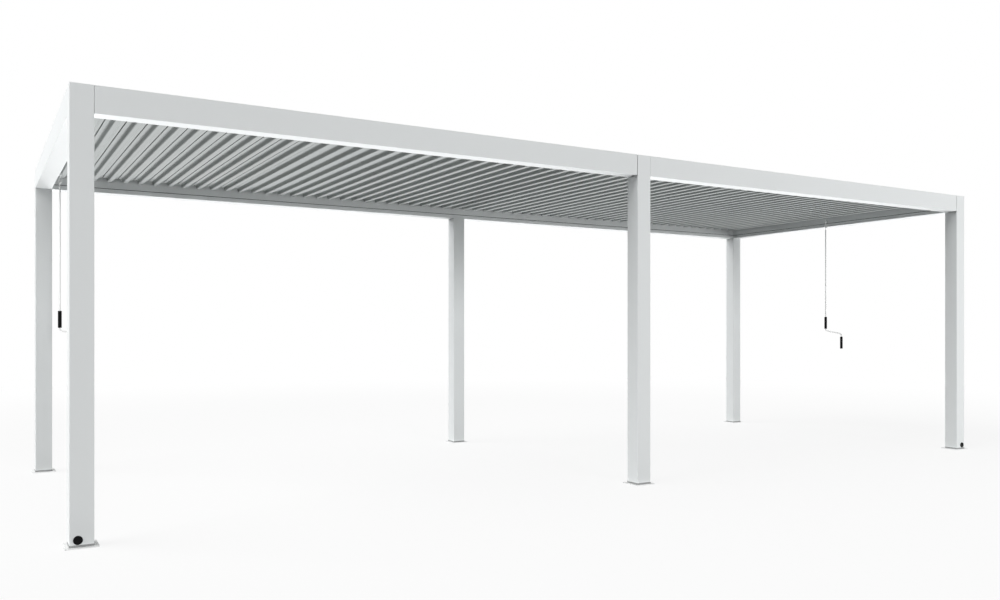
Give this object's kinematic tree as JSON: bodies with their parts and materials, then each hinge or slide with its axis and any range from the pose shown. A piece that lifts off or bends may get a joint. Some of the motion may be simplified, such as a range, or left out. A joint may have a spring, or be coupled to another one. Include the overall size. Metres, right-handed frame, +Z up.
{
  "type": "louvered pergola",
  "caption": "Free-standing white aluminium pergola with slim square posts and a roof of tilting louvre blades worked by a hanging hand crank.",
  "frame": {"origin": "ground level under the middle of the roof, midway between the outer faces of the corner posts", "axes": "+X along the long side towards the right end, -Y towards the front, +Z up"},
  "size_m": [8.0596, 3.17, 2.5],
  "materials": {
    "white_paint": "satin powder coat",
    "pale_grey_paint": "satin powder coat",
    "black_plastic": "matte"
  },
  "bodies": {
    "frame": {"base_plates": "white_paint", "crank_bosses": "white_paint", "drain_outlets": "black_plastic", "edge_flashings": "pale_grey_paint", "front_gutter": "white_paint", "front_left_beam": "white_paint", "front_left_post": "white_paint", "front_middle_post": "white_paint", "front_right_beam": "white_paint", "front_right_post": "white_paint", "left_beam": "white_paint", "left_gutter": "white_paint", "rear_gutter": "white_paint", "rear_left_beam": "white_paint", "rear_left_post": "white_paint", "rear_middle_post": "white_paint", "rear_right_beam": "white_paint", "rear_right_post": "white_paint", "right_beam": "white_paint", "right_gutter": "white_paint", "right_louvres": "pale_grey_paint"},
    "left_crank": {"left_crank_eye": "white_paint", "left_crank_rod": "white_paint", "left_crank_grips": "black_plastic"},
    "right_crank": {"right_crank_eye": "white_paint", "right_crank_rod": "white_paint", "right_crank_grips": "black_plastic"},
    "left_louvre_01": {"left_louvre_01": "pale_grey_paint"},
    "left_louvre_02": {"left_louvre_02": "pale_grey_paint"},
    "left_louvre_03": {"left_louvre_03": "pale_grey_paint"},
    "left_louvre_04": {"left_louvre_04": "pale_grey_paint"},
    "left_louvre_05": {"left_louvre_05": "pale_grey_paint"},
    "left_louvre_06": {"left_louvre_06": "pale_grey_paint"},
    "left_louvre_07": {"left_louvre_07": "pale_grey_paint"},
    "left_louvre_08": {"left_louvre_08": "pale_grey_paint"},
    "left_louvre_09": {"left_louvre_09": "pale_grey_paint"},
    "left_louvre_10": {"left_louvre_10": "pale_grey_paint"},
    "left_louvre_11": {"left_louvre_11": "pale_grey_paint"},
    "left_louvre_12": {"left_louvre_12": "pale_grey_paint"},
    "left_louvre_13": {"left_louvre_13": "pale_grey_paint"},
    "left_louvre_14": {"left_louvre_14": "pale_grey_paint"},
    "left_louvre_15": {"left_louvre_15": "pale_grey_paint"},
    "left_louvre_16": {"left_louvre_16": "pale_grey_paint"},
    "left_louvre_17": {"left_louvre_17": "pale_grey_paint"},
    "left_louvre_18": {"left_louvre_18": "pale_grey_paint"},
    "left_louvre_19": {"left_louvre_19": "pale_grey_paint"},
    "left_louvre_20": {"left_louvre_20": "pale_grey_paint"},
    "left_louvre_21": {"left_louvre_21": "pale_grey_paint"},
    "left_louvre_22": {"left_louvre_22": "pale_grey_paint"},
    "left_louvre_23": {"left_louvre_23": "pale_grey_paint"},
    "left_louvre_24": {"left_louvre_24": "pale_grey_paint"},
    "left_louvre_25": {"left_louvre_25": "pale_grey_paint"},
    "left_louvre_26": {"left_louvre_26": "pale_grey_paint"},
    "left_louvre_27": {"left_louvre_27": "pale_grey_paint"},
    "left_louvre_28": {"left_louvre_28": "pale_grey_paint"},
    "left_louvre_29": {"left_louvre_29": "pale_grey_paint"},
    "left_louvre_30": {"left_louvre_30": "pale_grey_paint"},
    "left_louvre_31": {"left_louvre_31": "pale_grey_paint"}
  },
  "joints": [
    {"name": "left_crank_turn", "type": "hinge", "parent": "frame", "child": "left_crank", "pos_m": [-3.8578, 1, 1.8], "axis": [0, 0, 1], "range_deg": [0, 3600]},
    {"name": "right_crank_turn", "type": "hinge", "parent": "frame", "child": "right_crank", "pos_m": [3.8578, -0.012, 1.8], "axis": [0, 0, 1], "range_deg": [0, 3600]},
    {"name": "left_louvre_01_tilt", "type": "hinge", "parent": "frame", "child": "left_louvre_01", "pos_m": [-3.8068, 0, 2.468], "axis": [0, -1, 0], "range_deg": [0, 90]},
    {"name": "left_louvre_02_tilt", "type": "hinge", "parent": "frame", "child": "left_louvre_02", "pos_m": [-3.684, 0, 2.468], "axis": [0, -1, 0], "range_deg": [0, 90]},
    {"name": "left_louvre_03_tilt", "type": "hinge", "parent": "frame", "child": "left_louvre_03", "pos_m": [-3.5612, 0, 2.468], "axis": [0, -1, 0], "range_deg": [0, 90]},
    {"name": "left_louvre_04_tilt", "type": "hinge", "parent": "frame", "child": "left_louvre_04", "pos_m": [-3.4384, 0, 2.468], "axis": [0, -1, 0], "range_deg": [0, 90]},
    {"name": "left_louvre_05_tilt", "type": "hinge", "parent": "frame", "child": "left_louvre_05", "pos_m": [-3.3156, 0, 2.468], "axis": [0, -1, 0], "range_deg": [0, 90]},
    {"name": "left_louvre_06_tilt", "type": "hinge", "parent": "frame", "child": "left_louvre_06", "pos_m": [-3.1928, 0, 2.468], "axis": [0, -1, 0], "range_deg": [0, 90]},
    {"name": "left_louvre_07_tilt", "type": "hinge", "parent": "frame", "child": "left_louvre_07", "pos_m": [-3.07, 0, 2.468], "axis": [0, -1, 0], "range_deg": [0, 90]},
    {"name": "left_louvre_08_tilt", "type": "hinge", "parent": "frame", "child": "left_louvre_08", "pos_m": [-2.9472, 0, 2.468], "axis": [0, -1, 0], "range_deg": [0, 90]},
    {"name": "left_louvre_09_tilt", "type": "hinge", "parent": "frame", "child": "left_louvre_09", "pos_m": [-2.8244, 0, 2.468], "axis": [0, -1, 0], "range_deg": [0, 90]},
    {"name": "left_louvre_10_tilt", "type": "hinge", "parent": "frame", "child": "left_louvre_10", "pos_m": [-2.7016, 0, 2.468], "axis": [0, -1, 0], "range_deg": [0, 90]},
    {"name": "left_louvre_11_tilt", "type": "hinge", "parent": "frame", "child": "left_louvre_11", "pos_m": [-2.5788, 0, 2.468], "axis": [0, -1, 0], "range_deg": [0, 90]},
    {"name": "left_louvre_12_tilt", "type": "hinge", "parent": "frame", "child": "left_louvre_12", "pos_m": [-2.456, 0, 2.468], "axis": [0, -1, 0], "range_deg": [0, 90]},
    {"name": "left_louvre_13_tilt", "type": "hinge", "parent": "frame", "child": "left_louvre_13", "pos_m": [-2.3332, 0, 2.468], "axis": [0, -1, 0], "range_deg": [0, 90]},
    {"name": "left_louvre_14_tilt", "type": "hinge", "parent": "frame", "child": "left_louvre_14", "pos_m": [-2.2104, 0, 2.468], "axis": [0, -1, 0], "range_deg": [0, 90]},
    {"name": "left_louvre_15_tilt", "type": "hinge", "parent": "frame", "child": "left_louvre_15", "pos_m": [-2.0876, 0, 2.468], "axis": [0, -1, 0], "range_deg": [0, 90]},
    {"name": "left_louvre_16_tilt", "type": "hinge", "parent": "frame", "child": "left_louvre_16", "pos_m": [-1.9648, 0, 2.468], "axis": [0, -1, 0], "range_deg": [0, 90]},
    {"name": "left_louvre_17_tilt", "type": "hinge", "parent": "frame", "child": "left_louvre_17", "pos_m": [-1.842, 0, 2.468], "axis": [0, -1, 0], "range_deg": [0, 90]},
    {"name": "left_louvre_18_tilt", "type": "hinge", "parent": "frame", "child": "left_louvre_18", "pos_m": [-1.7192, 0, 2.468], "axis": [0, -1, 0], "range_deg": [0, 90]},
    {"name": "left_louvre_19_tilt", "type": "hinge", "parent": "frame", "child": "left_louvre_19", "pos_m": [-1.5964, 0, 2.468], "axis": [0, -1, 0], "range_deg": [0, 90]},
    {"name": "left_louvre_20_tilt", "type": "hinge", "parent": "frame", "child": "left_louvre_20", "pos_m": [-1.4736, 0, 2.468], "axis": [0, -1, 0], "range_deg": [0, 90]},
    {"name": "left_louvre_21_tilt", "type": "hinge", "parent": "frame", "child": "left_louvre_21", "pos_m": [-1.3508, 0, 2.468], "axis": [0, -1, 0], "range_deg": [0, 90]},
    {"name": "left_louvre_22_tilt", "type": "hinge", "parent": "frame", "child": "left_louvre_22", "pos_m": [-1.228, 0, 2.468], "axis": [0, -1, 0], "range_deg": [0, 90]},
    {"name": "left_louvre_23_tilt", "type": "hinge", "parent": "frame", "child": "left_louvre_23", "pos_m": [-1.1052, 0, 2.468], "axis": [0, -1, 0], "range_deg": [0, 90]},
    {"name": "left_louvre_24_tilt", "type": "hinge", "parent": "frame", "child": "left_louvre_24", "pos_m": [-0.9824, 0, 2.468], "axis": [0, -1, 0], "range_deg": [0, 90]},
    {"name": "left_louvre_25_tilt", "type": "hinge", "parent": "frame", "child": "left_louvre_25", "pos_m": [-0.8596, 0, 2.468], "axis": [0, -1, 0], "range_deg": [0, 90]},
    {"name": "left_louvre_26_tilt", "type": "hinge", "parent": "frame", "child": "left_louvre_26", "pos_m": [-0.7368, 0, 2.468], "axis": [0, -1, 0], "range_deg": [0, 90]},
    {"name": "left_louvre_27_tilt", "type": "hinge", "parent": "frame", "child": "left_louvre_27", "pos_m": [-0.614, 0, 2.468], "axis": [0, -1, 0], "range_deg": [0, 90]},
    {"name": "left_louvre_28_tilt", "type": "hinge", "parent": "frame", "child": "left_louvre_28", "pos_m": [-0.4912, 0, 2.468], "axis": [0, -1, 0], "range_deg": [0, 90]},
    {"name": "left_louvre_29_tilt", "type": "hinge", "parent": "frame", "child": "left_louvre_29", "pos_m": [-0.3684, 0, 2.468], "axis": [0, -1, 0], "range_deg": [0, 90]},
    {"name": "left_louvre_30_tilt", "type": "hinge", "parent": "frame", "child": "left_louvre_30", "pos_m": [-0.2456, 0, 2.468], "axis": [0, -1, 0], "range_deg": [0, 90]},
    {"name": "left_louvre_31_tilt", "type": "hinge", "parent": "frame", "child": "left_louvre_31", "pos_m": [-0.1228, 0, 2.468], "axis": [0, -1, 0], "range_deg": [0, 90]}
  ],
  "couplings": [
    {"joint": "left_louvre_01_tilt", "follows": "left_crank_turn", "ratio": 0.025},
    {"joint": "left_louvre_02_tilt", "follows": "left_crank_turn", "ratio": 0.025},
    {"joint": "left_louvre_03_tilt", "follows": "left_crank_turn", "ratio": 0.025},
    {"joint": "left_louvre_04_tilt", "follows": "left_crank_turn", "ratio": 0.025},
    {"joint": "left_louvre_05_tilt", "follows": "left_crank_turn", "ratio": 0.025},
    {"joint": "left_louvre_06_tilt", "follows": "left_crank_turn", "ratio": 0.025},
    {"joint": "left_louvre_07_tilt", "follows": "left_crank_turn", "ratio": 0.025},
    {"joint": "left_louvre_08_tilt", "follows": "left_crank_turn", "ratio": 0.025},
    {"joint": "left_louvre_09_tilt", "follows": "left_crank_turn", "ratio": 0.025},
    {"joint": "left_louvre_10_tilt", "follows": "left_crank_turn", "ratio": 0.025},
    {"joint": "left_louvre_11_tilt", "follows": "left_crank_turn", "ratio": 0.025},
    {"joint": "left_louvre_12_tilt", "follows": "left_crank_turn", "ratio": 0.025},
    {"joint": "left_louvre_13_tilt", "follows": "left_crank_turn", "ratio": 0.025},
    {"joint": "left_louvre_14_tilt", "follows": "left_crank_turn", "ratio": 0.025},
    {"joint": "left_louvre_15_tilt", "follows": "left_crank_turn", "ratio": 0.025},
    {"joint": "left_louvre_16_tilt", "follows": "left_crank_turn", "ratio": 0.025},
    {"joint": "left_louvre_17_tilt", "follows": "left_crank_turn", "ratio": 0.025},
    {"joint": "left_louvre_18_tilt", "follows": "left_crank_turn", "ratio": 0.025},
    {"joint": "left_louvre_19_tilt", "follows": "left_crank_turn", "ratio": 0.025},
    {"joint": "left_louvre_20_tilt", "follows": "left_crank_turn", "ratio": 0.025},
    {"joint": "left_louvre_21_tilt", "follows": "left_crank_turn", "ratio": 0.025},
    {"joint": "left_louvre_22_tilt", "follows": "left_crank_turn", "ratio": 0.025},
    {"joint": "left_louvre_23_tilt", "follows": "left_crank_turn", "ratio": 0.025},
    {"joint": "left_louvre_24_tilt", "follows": "left_crank_turn", "ratio": 0.025},
    {"joint": "left_louvre_25_tilt", "follows": "left_crank_turn", "ratio": 0.025},
    {"joint": "left_louvre_26_tilt", "follows": "left_crank_turn", "ratio": 0.025},
    {"joint": "left_louvre_27_tilt", "follows": "left_crank_turn", "ratio": 0.025},
    {"joint": "left_louvre_28_tilt", "follows": "left_crank_turn", "ratio": 0.025},
    {"joint": "left_louvre_29_tilt", "follows": "left_crank_turn", "ratio": 0.025},
    {"joint": "left_louvre_30_tilt", "follows": "left_crank_turn", "ratio": 0.025},
    {"joint": "left_louvre_31_tilt", "follows": "left_crank_turn", "ratio": 0.025}
  ]
}
